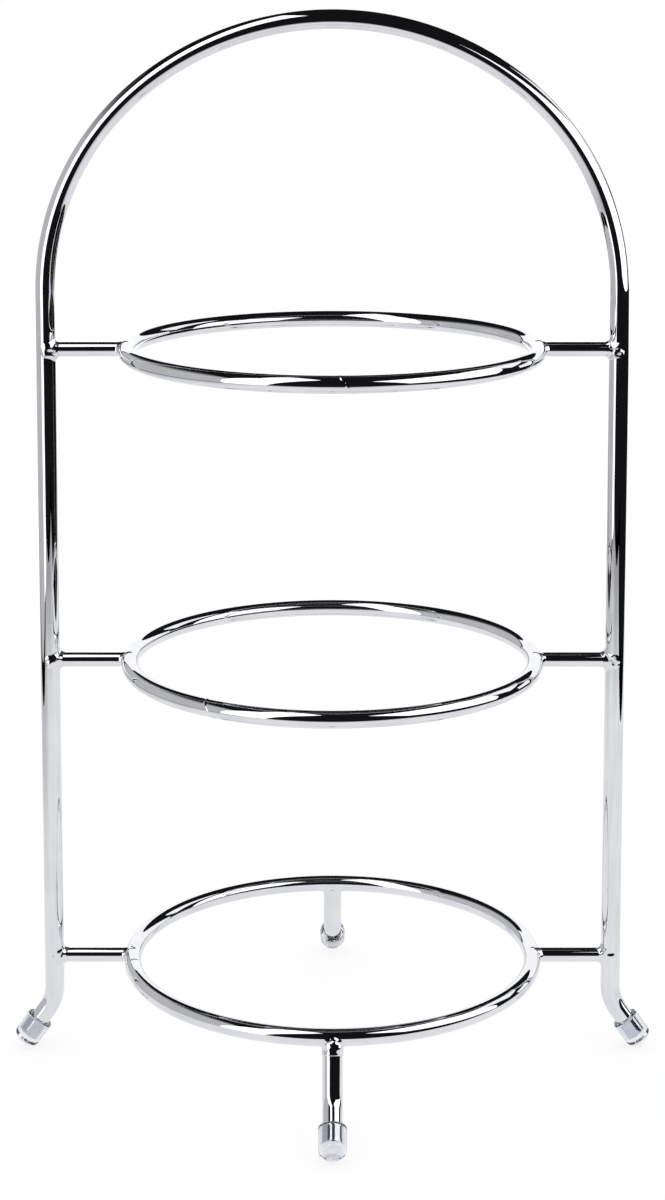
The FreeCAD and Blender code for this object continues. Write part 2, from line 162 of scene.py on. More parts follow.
# %% Grid to closed piece
def skin(name, grid, around, along, finish, ends_meet=False):
    """A closed mesh over grid[row, column]. Columns always close on themselves. Rows close too if
    ends_meet, and otherwise each end is closed by a fan to its middle. around and along are how far
    each column and each row is from the first, in metres, for the UV map."""
    rows, columns, _ = grid.shape
    index = np.arange(rows * columns).reshape(rows, columns)
    points = grid.reshape(-1, 3)
    across = one_more(around)
    wraps = [wrap_faces(index, across, one_more(along) if ends_meet else along, ends_meet)]
    if not ends_meet:
        wraps.append(fan_faces(index[0], len(points), across, along[0], False))
        wraps.append(fan_faces(index[-1], len(points) + 1, across, along[-1], True))
        points = np.vstack([points, grid[0].mean(0), grid[-1].mean(0)])
    faces, uv = zip(*wraps)
    if enclosed_volume(points, faces) < 0:
        uv = [c.reshape(-1, f.shape[1], 2)[:, ::-1].reshape(-1, 2) for c, f in zip(uv, faces)]
        faces = [f[:, ::-1] for f in faces]
    mesh = bpy.data.meshes.new(name)
    mesh.from_pydata(points.tolist(), [], [face for f in faces for face in f.tolist()])
    mesh.uv_layers.new(name="metres").data.foreach_set("uv", np.concatenate(uv).ravel())
    mesh.shade_smooth()
    mesh.materials.append(finish)
    piece = bpy.data.objects.new(name, mesh)
    bpy.context.scene.collection.objects.link(piece)
    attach(piece, "root")
    volume = enclosed_volume(points, faces)
    print(f"{name}: {len(mesh.polygons)} faces, {volume / MM ** 3:.1f} mm3")
    return piece


print("each piece will print its faces and volume")

# %% [markdown]
# ## Small tools for finishes
# A finish is a net of nodes whose sockets hold a value or take a link. It could be drawn by hand in
# the shader editor. Written out it is easier to read, repeat and change, so these helpers start a
# material, fill a socket either way, and add a node with its sockets filled.

# %% Nodes and sockets
def shader_tree(name):
    """A new material, its nodes, and its Principled shader."""
    material = bpy.data.materials.new(name)
    material.use_nodes = True
    return material, material.node_tree, material.node_tree.nodes["Principled BSDF"]


def fill(tree, socket, value):
    """Link a socket to another one, or set it to a plain value."""
    if isinstance(value, bpy.types.NodeSocket):
        tree.links.new(value, socket)
    else:
        socket.default_value = value


def add(tree, kind, settings=(), **inputs):
    """Add a node, set its properties, and fill or link its inputs by name."""
    node = tree.nodes.new(f"ShaderNode{kind}")
    for key, value in dict(settings).items():
        setattr(node, key, value)
    for key, value in inputs.items():
        fill(tree, node.inputs[key.replace("_", " ")], value)
    return node


print("node helpers ready")

# %% [markdown]
# ## Sums and noise in a finish
# Wear, cloudiness and draw lines are all one recipe: take noise of some size, and stretch the part
# of its range that matters to the roughness, colour or height it should give. A painted picture
# could hold them too, but it would repeat, and stretch where the surface bends.

# %% Sums and noise
def math_node(tree, operation, *values):
    """One step of arithmetic on numbers or sockets."""
    node = add(tree, "Math", {"operation": operation})
    for socket, value in zip(node.inputs, values):
        fill(tree, socket, value)
    return node.outputs["Value"]


def scaled(tree, place, scale):
    """The coordinates times a scale on each axis."""
    return add(tree, "Mapping", Vector=place, Scale=scale).outputs["Vector"]


def noise(tree, place, scale, detail):
    """Grey noise of about that many blobs a metre."""
    return add(tree, "TexNoise", Vector=place, Scale=scale, Detail=detail).outputs["Fac"]


def spread(tree, value, low, high, out_low, out_high, kind="LINEAR"):
    """Stretch a value from one range to another, held at the ends."""
    return add(tree, "MapRange", {"interpolation_type": kind}, Value=value, From_Min=low,
               From_Max=high, To_Min=out_low, To_Max=out_high).outputs["Result"]


print("sum and noise helpers ready")

# %% [markdown]
# ## Chrome
# Chrome has almost no colour of its own: a cool grey that mirrors whatever is around it. A mirror
# with nothing to disturb it looks like a drawing, so the finish carries what plating on drawn wire
# really shows: faint draw lines along the wire, a slow cloudiness, slight waves, and a scatter of
# dull specks. A picture of metal could be wrapped on, but it wouldn't move with the light. Noise in
# the wire's own UV, stretched along the wire, gives lines at the right scale and needs no picture.

# %% Chrome finishes
CHROME = (0.80, 0.81, 0.83, 1)
CHROME_CLOUDY = (0.74, 0.755, 0.785, 1)
CLOUDS = 70                           # blobs a metre, as in the next four
WAVES = 60
LUMPS = 260
GRAIN = 900
SPECKS = 1400
DRAW_LINES = (2600, 14, 1)            # lines a metre round the wire, and breaks a metre along it
WAVE_DEPTH = 0.03 * MM
GRAIN_DEPTH = 0.0006 * MM
HAZE = (0.010, 0.030)                 # roughness, from clear to cloudy
SPECK_DULLNESS = 0.10
TINTED = (0.40, 0.72)                 # the part of the clouds' range that changes the colour,
HAZED = (0.35, 0.75)                  # the part that changes the roughness,
SPECKLED = (0.72, 0.80)               # and the top of the specks' range, where they show


def make_chrome(name, drawn, dull=0.0, lumps=0.0):
    """Mirror chrome. drawn wire reads its UV map, whose V runs along the wire, for its draw lines;
    other pieces read Object coordinates. dull is added to the roughness, and lumps is the height
    in metres of a weld's rippled skin."""
    material, tree, shader = shader_tree(name)
    here = add(tree, "TexCoord")
    place = here.outputs["Object"]
    clouds = noise(tree, place, CLOUDS, 3.0)
    colour = add(tree, "Mix", {"data_type": "RGBA"}, Factor=spread(tree, clouds, *TINTED, 0, 1))
    colour.inputs["A"].default_value = CHROME
    colour.inputs["B"].default_value = CHROME_CLOUDY
    specks = spread(tree, noise(tree, place, SPECKS, 1.0), *SPECKLED, 0, SPECK_DULLNESS)
    haze = spread(tree, clouds, *HAZED, HAZE[0] + dull, HAZE[1] + dull)
    if drawn:
        fine = noise(tree, scaled(tree, here.outputs["UV"], DRAW_LINES), 1, 3.0)
    else:
        fine = noise(tree, place, GRAIN, 2.0)
    layers = [(WAVE_DEPTH, noise(tree, place, WAVES, 1.0)), (GRAIN_DEPTH, fine)]
    if lumps:
        layers.append((lumps, noise(tree, place, LUMPS, 1.0)))
    bump = add(tree, "Bump", Strength=1.0, Distance=layers[0][0], Height=layers[0][1])
    for depth, height in layers[1:]:
        bump = add(tree, "Bump", Strength=1.0, Distance=depth, Height=height,
                   Normal=bump.outputs["Normal"])
    fill(tree, shader.inputs["Base Color"], colour.outputs["Result"])
    fill(tree, shader.inputs["Roughness"], math_node(tree, "ADD", haze, specks))
    fill(tree, shader.inputs["Normal"], bump.outputs["Normal"])
    fill(tree, shader.inputs["Metallic"], 1.0)
    return material


wire_chrome = make_chrome("chrome_on_drawn_wire", drawn=True)
cut_chrome = make_chrome("chrome_on_short_wire", drawn=False)
weld_chrome = make_chrome("chrome_over_weld", drawn=False, dull=0.03, lumps=1.0 * MM)
print("finishes", [finish.name for finish in (wire_chrome, cut_chrome, weld_chrome)])

# %% [markdown]
# ## A bender's path
# A bender sets out a rod as a list of runs, each a length and a turn: straight for so long, then
# bent by so much. A spline through points would drift between them, and runs of constant bend are
# exactly what the rod does. Walking down the list gives the place and the heading at any distance
# from the rod's sawn end.

# %% Walk along runs and bends
def step_from(heading, bend, distance):
    """Step and new heading after a distance. The heading grows by bend times the distance. A
    straight step is the distance times (cos, sin) of the heading, and a bent one is the change in
    (sin, -cos) of the heading, divided by the bend."""
    now = heading + bend * distance
    is_straight = np.abs(bend) < 1e-9
    radius = 1 / np.where(is_straight, 1, bend)
    x = np.where(is_straight, distance * np.cos(heading), radius * (np.sin(now) - np.sin(heading)))
    y = np.where(is_straight, distance * np.sin(heading), radius * (np.cos(heading) - np.cos(now)))
    return np.stack([x, y], -1), now


def walk(runs, start, heading, distance):
    """Place and heading at each distance along a flat path of runs, each a (length, turn)."""
    lengths, turns = np.array(runs).T
    starts = np.concatenate(([0.0], np.cumsum(lengths)))
    headings = heading + np.concatenate(([0.0], np.cumsum(turns)))
    corners = [np.array(start)]
    for length, turn, run_heading in zip(lengths, turns, headings):
        corners.append(corners[-1] + step_from(run_heading, turn / length, length)[0])
    run = np.clip(np.searchsorted(starts, distance, side="right") - 1, 0, len(runs) - 1)
    step, now = step_from(headings[run], turns[run] / lengths[run], distance - starts[run])
    return np.array(corners)[run] + step, now


quarter = math.pi / 2
print("a quarter turn of radius 1 ends at", walk([(quarter, quarter)], (0, 0), 0, quarter)[0].round(6))

# %% [markdown]
# ## A sawn end
# The saw leaves a flat face with a sharp edge, and a file breaks that edge before plating. A plain
# disc would be quicker, but its edge would have no width and catch no light. A Bevel modifier could
# round it too, at every corner of the piece. A few rows that draw in over a quarter circle do it
# just where it's wanted.

# %% Rounded ends
END_ROWS = 6


def rounded_end(radius, edge):
    """Distances from a sawn end, and radii there: two rows on the flat face, then a quarter circle
    over the broken edge."""
    turn = np.linspace(0, math.pi / 2, END_ROWS)
    return (np.concatenate(([0.0, 0.0], edge * (1 - np.cos(turn)))),
            np.concatenate(([0.1 * radius, 0.6 * radius], radius - edge + edge * np.sin(turn))))


print("radii on an end in mm", (rounded_end(FRAME_WIRE / 2, WIRE_END_ROUND)[1] / MM).round(2))

# %% [markdown]
# ## From a path to a round wire
# A sweep carries a circle along the path, always square to it. A curve object with a round bevel is
# Blender's own sweep, but it spaces its rows by itself. Here they lie close together on bends,
# where a mirror shows every corner, and wide apart on straights.

# %% Sweep a round wire
X_AXIS, Y_AXIS, Z_AXIS = np.eye(3)
STRAIGHT_STEP = 2 * MM
BEND_STEP = 0.75 * MM
WIRE_COLUMNS = 64
END_CLEARANCE = 1.5                   # even rows keep off an end by this many times its rounding


def angles_round(count):
    """Even steps of angle once round, starting at 0."""
    return np.linspace(0, 2 * math.pi, count, endpoint=False)


def sweep_wire(name, node, runs, start, heading, along_axis, across_axis, edges):
    """Circles of the frame wire's radius square to a flat path, at (cos a, sin a) of the path's
    left-hand normal and the axis across its plane. edges are how far the wire's first and last
    ends are rounded."""
    radius = FRAME_WIRE / 2
    ends = np.cumsum([0.0] + [length for length, _ in runs])
    spacing = [STRAIGHT_STEP if turn == 0 else BEND_STEP for _, turn in runs]
    even = np.concatenate([np.linspace(a, b, round((b - a) / gap), endpoint=False)
                           for a, b, gap in zip(ends[:-1], ends[1:], spacing)])
    is_clear = (even > edges[0] * END_CLEARANCE) & (even < ends[-1] - edges[1] * END_CLEARANCE)
    even = even[is_clear]
    first, first_radius = rounded_end(radius, edges[0])
    last, last_radius = rounded_end(radius, edges[1])
    distance = np.concatenate([first, even, ends[-1] - last[::-1]])
    radii = np.concatenate([first_radius, np.full(len(even), radius), last_radius[::-1]])
    flat, facing = walk(runs, start, heading, distance)
    centre = flat[:, :1] * along_axis + flat[:, 1:] * Z_AXIS
    left = np.cos(facing)[:, None] * Z_AXIS - np.sin(facing)[:, None] * along_axis
    angle = angles_round(WIRE_COLUMNS)
    circle = (np.cos(angle)[None, :, None] * left[:, None]
              + np.sin(angle)[None, :, None] * across_axis)
    grid = centre[:, None] + radii[:, None, None] * circle
    wire = skin(name, grid, angle * radius, distance, wire_chrome)
    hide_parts(node)
    print(f"{name} is {ends[-1] / MM:.0f} mm of rod")


print("columns round a wire are", round(math.pi * FRAME_WIRE / WIRE_COLUMNS / MM, 2), "mm apart")

# %% [markdown]
# ## The hoop: one rod from foot to foot
# The bender starts with a straight 8 mm rod and puts in five bends: a kick at each foot and, over
# the top, a crown between two tighter shoulders. Separate pieces could be joined at the bends, but
# the real rod has no joint, so the whole hoop is one list of runs and one sweep.

# %% Make the hoop
HALF_WIDTH = 117 * MM                 # from the middle to an upright's centre line
SPRING_HEIGHT = 321.5 * MM            # where the uprights turn into the arch
SHOULDER_OFFSET = 10 * MM             # from the middle to the centre of a shoulder's arc
SHOULDER_RADIUS = 107 * MM
CROWN_RADIUS = 123 * MM
SIDE_BEND_HEIGHT = 26.6 * MM          # where an upright's kick starts
SIDE_BEND_RADIUS = 18 * MM
SIDE_SPLAY = math.radians(35.5)
FOOT_END_HEIGHT = 5.568 * MM


def make_hoop():
    """Foot, kick, upright, shoulder, crown, and the same back down again. Crown and shoulder meet
    at the angle whose tangent is the drop between their centres over the offset."""
    drop = math.sqrt((CROWN_RADIUS - SHOULDER_RADIUS) ** 2 - SHOULDER_OFFSET ** 2)
    meet = math.atan2(drop, SHOULDER_OFFSET)
    knee = SIDE_BEND_HEIGHT - SIDE_BEND_RADIUS * math.sin(SIDE_SPLAY)
    foot = (knee - FOOT_END_HEIGHT) / math.cos(SIDE_SPLAY)
    reach = SIDE_BEND_RADIUS * (1 - math.cos(SIDE_SPLAY)) + foot * math.sin(SIDE_SPLAY)
    kick = (SIDE_BEND_RADIUS * SIDE_SPLAY, SIDE_SPLAY)
    upright = (SPRING_HEIGHT - SIDE_BEND_HEIGHT, 0.0)
    shoulder = (SHOULDER_RADIUS * meet, -meet)
    crown = (CROWN_RADIUS * (math.pi - 2 * meet), 2 * meet - math.pi)
    runs = [(foot, 0.0), kick, upright, shoulder, crown, shoulder, upright, kick, (foot, 0.0)]
    sweep_wire("hoop", "hoop_frame", runs, (-HALF_WIDTH - reach, FOOT_END_HEIGHT),
               math.pi / 2 - SIDE_SPLAY, X_AXIS, Y_AXIS, (WIRE_END_ROUND, WIRE_END_ROUND))


make_hoop()

# %% [markdown]
# ## The legs
# Two short rods of the same wire hold up the bottom ring, at its front and its rear. Each leans in
# and is bent outwards near the floor. A mirrored copy would do for the second, but the two aren't
# quite alike: the rear leg leans a little less, and its top end is hardly rounded. Both are swept
# from their own runs, with the feet at the same reach.

# %% Make the legs
LEG_LEAN = {"front": math.radians(21.8), "rear": math.radians(20.7)}
LEG_BEND_HEIGHT = 19.6 * MM           # where a leg's straight turns into its bend
LEG_BEND_RADIUS = 12 * MM
LEG_SPLAY = math.radians(52)
LEG_END_HEIGHT = 5.849 * MM
LEG_TIP_DROP = 1.0 * MM               # from the ring's middle down the leg to its top end
LEG_TIP_ROUND = {"front": 2.0 * MM, "rear": 0.5 * MM}


def leg_lengths(lean):
    """Lengths of a leg's foot and straight, and how far out the foot starts from the leg's top."""
    knee = LEG_BEND_HEIGHT - LEG_BEND_RADIUS * (math.sin(LEG_SPLAY) - math.sin(lean))
    foot = (knee - LEG_END_HEIGHT) / math.cos(LEG_SPLAY)
    straight = (ring_height["bottom"] - LEG_BEND_HEIGHT) / math.cos(lean)
    out = (straight * math.sin(lean) + foot * math.sin(LEG_SPLAY)
           + LEG_BEND_RADIUS * (math.cos(lean) - math.cos(LEG_SPLAY)))
    return foot, straight, out


FOOT_REACH = RING_RADIUS + leg_lengths(LEG_LEAN["front"])[2]


def make_leg(end, sign):
    """Foot, bend, and the straight that leans in to the bottom ring and stops under it. Both feet
    start at the same reach, so the rear leg, which leans less, meets the ring a little further out."""
    lean = LEG_LEAN[end]
    foot, straight, _ = leg_lengths(lean)
    bend = (LEG_BEND_RADIUS * (LEG_SPLAY - lean), lean - LEG_SPLAY)
    runs = [(foot, 0.0), bend, (straight - LEG_TIP_DROP, 0.0)]
    sweep_wire(f"{end}_leg_wire", f"{end}_leg", runs, (FOOT_REACH, LEG_END_HEIGHT),
               math.pi / 2 + LEG_SPLAY, sign * Y_AXIS, X_AXIS, (WIRE_END_ROUND, LEG_TIP_ROUND[end]))


make_leg("front", -1)
make_leg("rear", 1)

# %% [markdown]
# ## The plate rings and their seams
# A ring is a length of 7 mm wire rolled into a circle, its two ends butted, welded and ground
# before plating. A torus from the menu would be flawless and dead. Here the same circle is swept,
# and a shallow slanted ridge is left where the ends met, as plating never quite hides it. Rows are
# crowded together at the seam and even everywhere else.

# %% Make the rings
SEAM_HEIGHT = 0.12 * MM
SEAM_WIDTH = 0.34 * MM
SEAM_SLANT = -0.7                     # tangent of the seam's slant across the wire
SEAM_REACH = 8 * MM                   # how far the crowded rows go on each side of the seam
SEAM_ROWS = 90
RING_ROWS = 400
RING_COLUMNS = 56
seam_at = {"top": math.radians(-86.5), "middle": math.radians(-124), "bottom": math.radians(191)}


def signed_turn(angle):
    """The same direction as an angle between -pi and pi."""
    return (angle + math.pi) % (2 * math.pi) - math.pi


def make_ring(tier):
    """A circle of wire at (R + r cos a, r sin a) about Z. Its radius r grows by a bell curve of the
    distance from the seam, and that distance is measured from a plane that slants with sin a."""
    even = angles_round(RING_ROWS)
    reach = SEAM_REACH / RING_RADIUS
    crowded = np.linspace(-reach, reach, SEAM_ROWS)
    turn = np.concatenate([even[np.abs(signed_turn(even)) > reach], crowded])
    turn = np.sort(turn % (2 * math.pi))
    angle = angles_round(RING_COLUMNS)
    off = RING_RADIUS * signed_turn(turn)
    slant = SEAM_SLANT * RING_WIRE / 2 * np.sin(angle)
    bell = np.exp(-((off[:, None] - slant[None, :]) / SEAM_WIDTH) ** 2)
    radius = RING_WIRE / 2 + SEAM_HEIGHT * bell
    about = turn + seam_at[tier]
    out = RING_RADIUS + radius * np.cos(angle)
    grid = np.stack([out * np.cos(about)[:, None], out * np.sin(about)[:, None],
                     ring_height[tier] + radius * np.sin(angle)], -1)
    ring = skin(f"{tier}_plate_ring", grid, angle * RING_WIRE / 2, turn * RING_RADIUS,
                wire_chrome, ends_meet=True)
    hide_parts(f"{tier}_ring")


for tier in TIERS:
    make_ring(tier)

# %% [markdown]
# ## How far a point is from a wire
# Each short wire is butted against another and welded all round by hand, so a bead of metal lies
# along the line where the two skins meet. A ring from the menu would not follow the saddle of two
# round wires, but a distance does: a point that is close to both skins at once is close to that
# line. Each helper here gives the distance from one kind of wire, negative inside it.

# %% Distances to wires
def distance_to_rod(points, through, along, radius):
    """Distance from the skin of a long straight rod: distance from its axis, less its radius."""
    offset = points - through
    beside = offset - (offset @ along)[..., None] * along
    return np.linalg.norm(beside, axis=-1) - radius


def distance_to_rod_end(points, end, along, radius, edge=0.0):
    """Distance from the skin of a rod that starts at its end and runs along. A smaller rod, less
    by the edge's rounding all over, grows back by that much: inside its corner the larger of the
    two distances counts, and outside it the slanted distance from the corner."""
    beside = distance_to_rod(points, end, along, radius) + edge
    behind = (end - points) @ along + edge
    corner = np.hypot(np.maximum(beside, 0), np.maximum(behind, 0))
    return corner + np.minimum(np.maximum(beside, behind), 0) - edge


def distance_to_ring(points, height):
    """Distance from the skin of a plate ring at a height."""
    out = np.hypot(points[..., 0], points[..., 1]) - RING_RADIUS
    return np.hypot(out, points[..., 2] - height) - RING_WIRE / 2


inside_ring = distance_to_ring(RING_RADIUS * X_AXIS, 0.0)
print(f"the middle of a ring's wire is {inside_ring / MM:.1f} mm from its skin")

# %% [markdown]
# ## A hand's unevenness
# A welder's bead swells and thins as the hand moves on. Noise with no memory would look like sand,
# so a few sine waves with random phases are added, which come round to where they began. The seed
# is fixed, so that a weld has the same shape each time.

# %% Wobble round a joint
def wobble(angle, rng, waves=5):
    """A smooth closed unevenness from -1 to 1: the sum of sine waves, weaker as they get shorter,
    over its largest value."""
    count = np.arange(1, waves + 1)
    size = rng.uniform(0.3, 1, waves) / count
    phase = rng.uniform(0, 2 * math.pi, waves)
    wave = (size * np.sin(np.multiply.outer(angle, count) + phase)).sum(-1)
    return wave / np.abs(wave).max()


trial = wobble(angles_round(8), np.random.default_rng(0))
print("a wobble in 8 steps", trial.round(2))

# %% [markdown]
# ## Looking outwards from a joint
# A closed skin round a joint can be laid out like a globe, with rays from a point inside both wires
# and a pole at each end of an axis. A sphere from the menu has even rows, and most of them would
# lie hidden in the wires. Here most of the rows lie where the bead shows, and the poles don't.

# %% Rays like a globe
BEAD_COLUMNS = 128
POLE_TILTS = (0.02, 3.12)             # first and last rows, in radians from the axis
BEAD_TILTS = (0.5, 1.7)               # the bead shows between these
BEAD_ROWS = (8, 76, 12)               # rows before, between and after them
bead_tilts = np.concatenate([
    np.linspace(POLE_TILTS[0], BEAD_TILTS[0], BEAD_ROWS[0], endpoint=False),
    np.linspace(BEAD_TILTS[0], BEAD_TILTS[1], BEAD_ROWS[1], endpoint=False),
    np.linspace(BEAD_TILTS[1], POLE_TILTS[1], BEAD_ROWS[2])])


def rays_about(axis, turn, tilt):
    """Directions, and the part of each that points away from the axis: cos(tilt) axis + sin(tilt)
    (cos(turn) side + sin(turn) third), where side and third are square to the axis."""
    side = np.cross(axis, Z_AXIS if abs(axis[2]) < 0.9 else Y_AXIS)
    side = side / np.linalg.norm(side)
    third = np.cross(axis, side)
    across = np.cos(turn)[:, None] * side + np.sin(turn)[:, None] * third
    return np.cos(tilt)[:, None, None] * axis + np.sin(tilt)[:, None, None] * across, across


print("rays for each bead", BEAD_COLUMNS * len(bead_tilts))

# %% [markdown]
# ## Growing a weld bead
# The bead is where the two wires' union swells outwards, most on the line where their skins meet.
# Metaballs could blend the wires, but they leave no control over the bead's width. Here the skin is
# looked for along each ray, by halving again and again the stretch that it lies in. Away from the
# joint that skin sinks just under the wires, where it can't be seen.

# %% Grow a weld bead
SINK = 0.06 * MM                      # how deep the bead's skin runs under the bare wires
BEAD_START = 0.5 * MM                 # the stretch of each ray in which the skin is looked for
BEAD_REACH = 8 * MM
HALVINGS = 26
SWELL = 0.26                          # shares of the bead's height: slow swelling round the joint,
RIPPLE = 0.08                         # quick ripples round it,
DRIFT = 0.12                          # and a change from one wire to the other
RIPPLES_ROUND = 9
RIPPLE_SHIFT = 3                      # radians by which the ripples crowd and spread
DRIFT_PACE = 3                        # how much faster the change runs than the rows' angle


def make_weld(name, node, centre, axis, first_skin, second_skin, height, widths, seed, share=None):
    """A skin at r(direction) from a centre, where min(first, second) + sink - height * bell = 0.
    The bell is exp(-(first / width)^2 - (second / width)^2), with a width for each, and is highest
    on the line where the skins meet. The rays' poles are hidden inside the wires. share says how
    much of the bead there is at each angle round the axis."""
    rng = np.random.default_rng(seed)
    turn = angles_round(BEAD_COLUMNS)
    rays, across = rays_about(axis / np.linalg.norm(axis), turn, bead_tilts)
    amount = 1 + SWELL * wobble(turn, rng)
    amount = amount + RIPPLE * np.sin(RIPPLES_ROUND * turn + RIPPLE_SHIFT * wobble(turn, rng))
    amount = amount + DRIFT * wobble(DRIFT_PACE * bead_tilts, rng)[:, None]
    if share is not None:
        amount = amount * share(across)
    low, high = np.full(rays.shape[:2], BEAD_START), np.full(rays.shape[:2], BEAD_REACH)
    for _ in range(HALVINGS):
        r = (low + high) / 2
        points = centre + r[..., None] * rays
        first, second = first_skin(points), second_skin(points)
        bell = np.exp(-(first / widths[0]) ** 2 - (second / widths[1]) ** 2)
        outside = np.minimum(first, second) + SINK - (height + SINK) * amount * bell > 0
        low, high = np.where(outside, low, r), np.where(outside, r, high)
    grid = centre + ((low + high) / 2)[..., None] * rays
    weld = skin(name, grid, turn * RING_WIRE / 2, bead_tilts * RING_WIRE / 2, weld_chrome)
    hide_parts(node)


finest = (BEAD_REACH - BEAD_START) / 2 ** HALVINGS
print(f"halving {HALVINGS} times finds a skin to {finest / MM:.1e} mm")

# %% [markdown]
# ## The arms' welds
# An arm has a bead at both ends: a fat one on the upright, which the welder can get all round, and
# a thin one on the ring, where a plate has to lie flat. One bead could be copied to all twelve
# places, but no two come out alike by hand, so each has its own seed.

# %% Weld the arms
SIDES = {"left": -1, "right": 1}
UPRIGHT_BEAD = (0.90 * MM, (1.2 * MM, 1.2 * MM))     # height, and widths off arm and upright
RING_BEAD = (0.45 * MM, (0.85 * MM, 0.85 * MM))      # height, and widths off arm and ring
RING_SEEDS = 100                                     # the ring ends' seeds start here


def weld_arm(tier, side, seed):
    """The beads at both ends of one arm."""
    out = SIDES[side] * X_AXIS
    level = ring_height[tier] * Z_AXIS
    at_upright, at_ring = level + HALF_WIDTH * out, level + RING_RADIUS * out
    make_weld(f"{tier}_{side}_upright_bead", f"{tier}_{side}_upright_weld", at_upright, -out,
              lambda points: distance_to_rod_end(points, at_upright, -out, ARM_WIRE / 2),
              lambda points: distance_to_rod(points, at_upright, Z_AXIS, FRAME_WIRE / 2),
              *UPRIGHT_BEAD, seed)
    make_weld(f"{tier}_{side}_ring_bead", f"{tier}_{side}_ring_weld", at_ring, out,
              lambda points: distance_to_rod_end(points, at_ring, out, ARM_WIRE / 2),
              lambda points: distance_to_ring(points, ring_height[tier]),
              *RING_BEAD, seed + RING_SEEDS)


for number, tier in enumerate(TIERS):
    weld_arm(tier, "left", 2 * number)
    weld_arm(tier, "right", 2 * number + 1)

# %% [markdown]
# ## The legs' welds
# A leg's rounded top end sits just under the middle of the ring's wire, and its bead fills the
# corner between them. The same helper makes it, with two widths that differ: the bead runs further
# down the leg than it spreads on the ring. The welder reaches a leg's outer side best, so the bead
# is thinner on the inner side, and at the rear leg it fades out there.

# %% Weld the legs
LEG_BEAD = (0.70 * MM, (0.9 * MM, 3.4 * MM))         # height, and widths off leg and ring
LEG_SEEDS = {"front": 41, "rear": 42}
INNER_SHARE = {"front": 0.4, "rear": 0.0}            # how much of the bead the inner side gets


def make_leg_weld(end, sign):
    """The bead at a leg's top, all of it on the outer side and the inner share on the other."""
    centre = np.array([0, sign * RING_RADIUS, ring_height["bottom"]])
    down = np.array([0, sign * math.sin(LEG_LEAN[end]), -math.cos(LEG_LEAN[end])])
    top = sign * (FOOT_REACH - leg_lengths(LEG_LEAN[end])[2])
    tip = np.array([0, top, ring_height["bottom"]]) + LEG_TIP_DROP * down

    def share(across):
        """From the inner share up to 1, by how much the direction points outwards."""
        outer = (1 + sign * across @ Y_AXIS) / 2
        return INNER_SHARE[end] + (1 - INNER_SHARE[end]) * outer

    make_weld(f"{end}_leg_bead", f"{end}_leg_weld", centre, down,
              lambda points: distance_to_rod_end(points, tip, down, FRAME_WIRE / 2,
                                                 LEG_TIP_ROUND[end]),
              lambda points: distance_to_ring(points, ring_height["bottom"]),
              *LEG_BEAD, LEG_SEEDS[end], share)


make_leg_weld("front", -1)
make_leg_weld("rear", 1)

# %% [markdown]
# ## The arms
# The six arms leave the frame with the right shape already: short straight wires, coped at both
# ends to the round of what they meet. They could be swept again like the hoop, but nothing would be
# gained, so they keep their own meshes and only change their coat: the chrome that reads Object
# coordinates, which every mesh has.

# %% Coat the arms
def coat(node, finish):
    """Put a finish on a solid in place of its plain one."""
    mesh = nodes[node].data
    mesh.materials.clear()
    mesh.materials.append(finish)


short_wires = [name for name in nodes if name.endswith("_arm")]
for name in short_wires:
    coat(name, cut_chrome)
print("coated", short_wires)

# %% [markdown]
# ## Clear caps
# Each foot wears a cap of soft clear plastic, thick at its end, so that metal never scratches the
# table. Clear plastic is drawn by refraction: light bends at every skin, and the chrome shows
# through. Making it partly see-through by alpha is quicker but has no bright rims or dark edges.

# %% Coat the caps
CLEAR_PLASTIC = (0.83, 0.85, 0.89, 1)
PLASTIC_BENDS_LIGHT = 1.5             # its index of refraction
PLASTIC_CLEARNESS = 0.98
MOULD_WAVES = 300                     # blobs a metre
MOULD_GRAIN = 1800
MOULD_ROUGHNESS = (0.01, 0.04)


def make_clear_plastic():
    """Clear plastic with a slight cool tint and a faintly uneven moulded skin."""
    material, tree, shader = shader_tree("clear_soft_plastic")
    place = add(tree, "TexCoord").outputs["Object"]
    slow = noise(tree, place, MOULD_WAVES, 2.0)
    fine = noise(tree, place, MOULD_GRAIN, 3.0)
    bump = add(tree, "Bump", Strength=0.05, Distance=0.2 * MM, Height=slow)
    fill(tree, shader.inputs["Roughness"], spread(tree, fine, 0.35, 0.7, *MOULD_ROUGHNESS))
    fill(tree, shader.inputs["Normal"], bump.outputs["Normal"])
    fill(tree, shader.inputs["Base Color"], CLEAR_PLASTIC)
    fill(tree, shader.inputs["Transmission Weight"], PLASTIC_CLEARNESS)
    fill(tree, shader.inputs["IOR"], PLASTIC_BENDS_LIGHT)
    return material


cap_plastic = make_clear_plastic()
caps = [f"{way}_foot_cap" for way in ("left", "right", "front", "rear")]
for name in caps:
    coat(name, cap_plastic)
print("coated", caps)

# %% [markdown]
# ## Surfaces that only mirrors see
# Chrome takes its look from what stands round it. A ready-made surroundings image would do that,
# but a few plain cards can be moved one by one. They glow evenly, so that chrome shows them the
# same brightness from everywhere, and they show to light paths that have met a mirror and to no
# others: the camera and the shadows look straight through them.

# %% Card helpers
def mirrored_share(tree):
    """1 on light paths that have been mirrored, and 0 on the others."""
    return math_node(tree, "MINIMUM", add(tree, "LightPath").outputs["Glossy Depth"], 1.0)


def glow_in_mirrors(tree, colour, strength):
    """Make a material glow on mirrored paths, and let the others through."""
    glow = add(tree, "Emission", Color=(*colour, 1), Strength=strength)
    choice = tree.nodes.new("ShaderNodeMixShader")
    tree.links.new(mirrored_share(tree), choice.inputs[0])
    tree.links.new(add(tree, "BsdfTransparent").outputs["BSDF"], choice.inputs[1])
    tree.links.new(glow.outputs["Emission"], choice.inputs[2])
    tree.links.new(choice.outputs["Shader"], tree.nodes["Material Output"].inputs["Surface"])


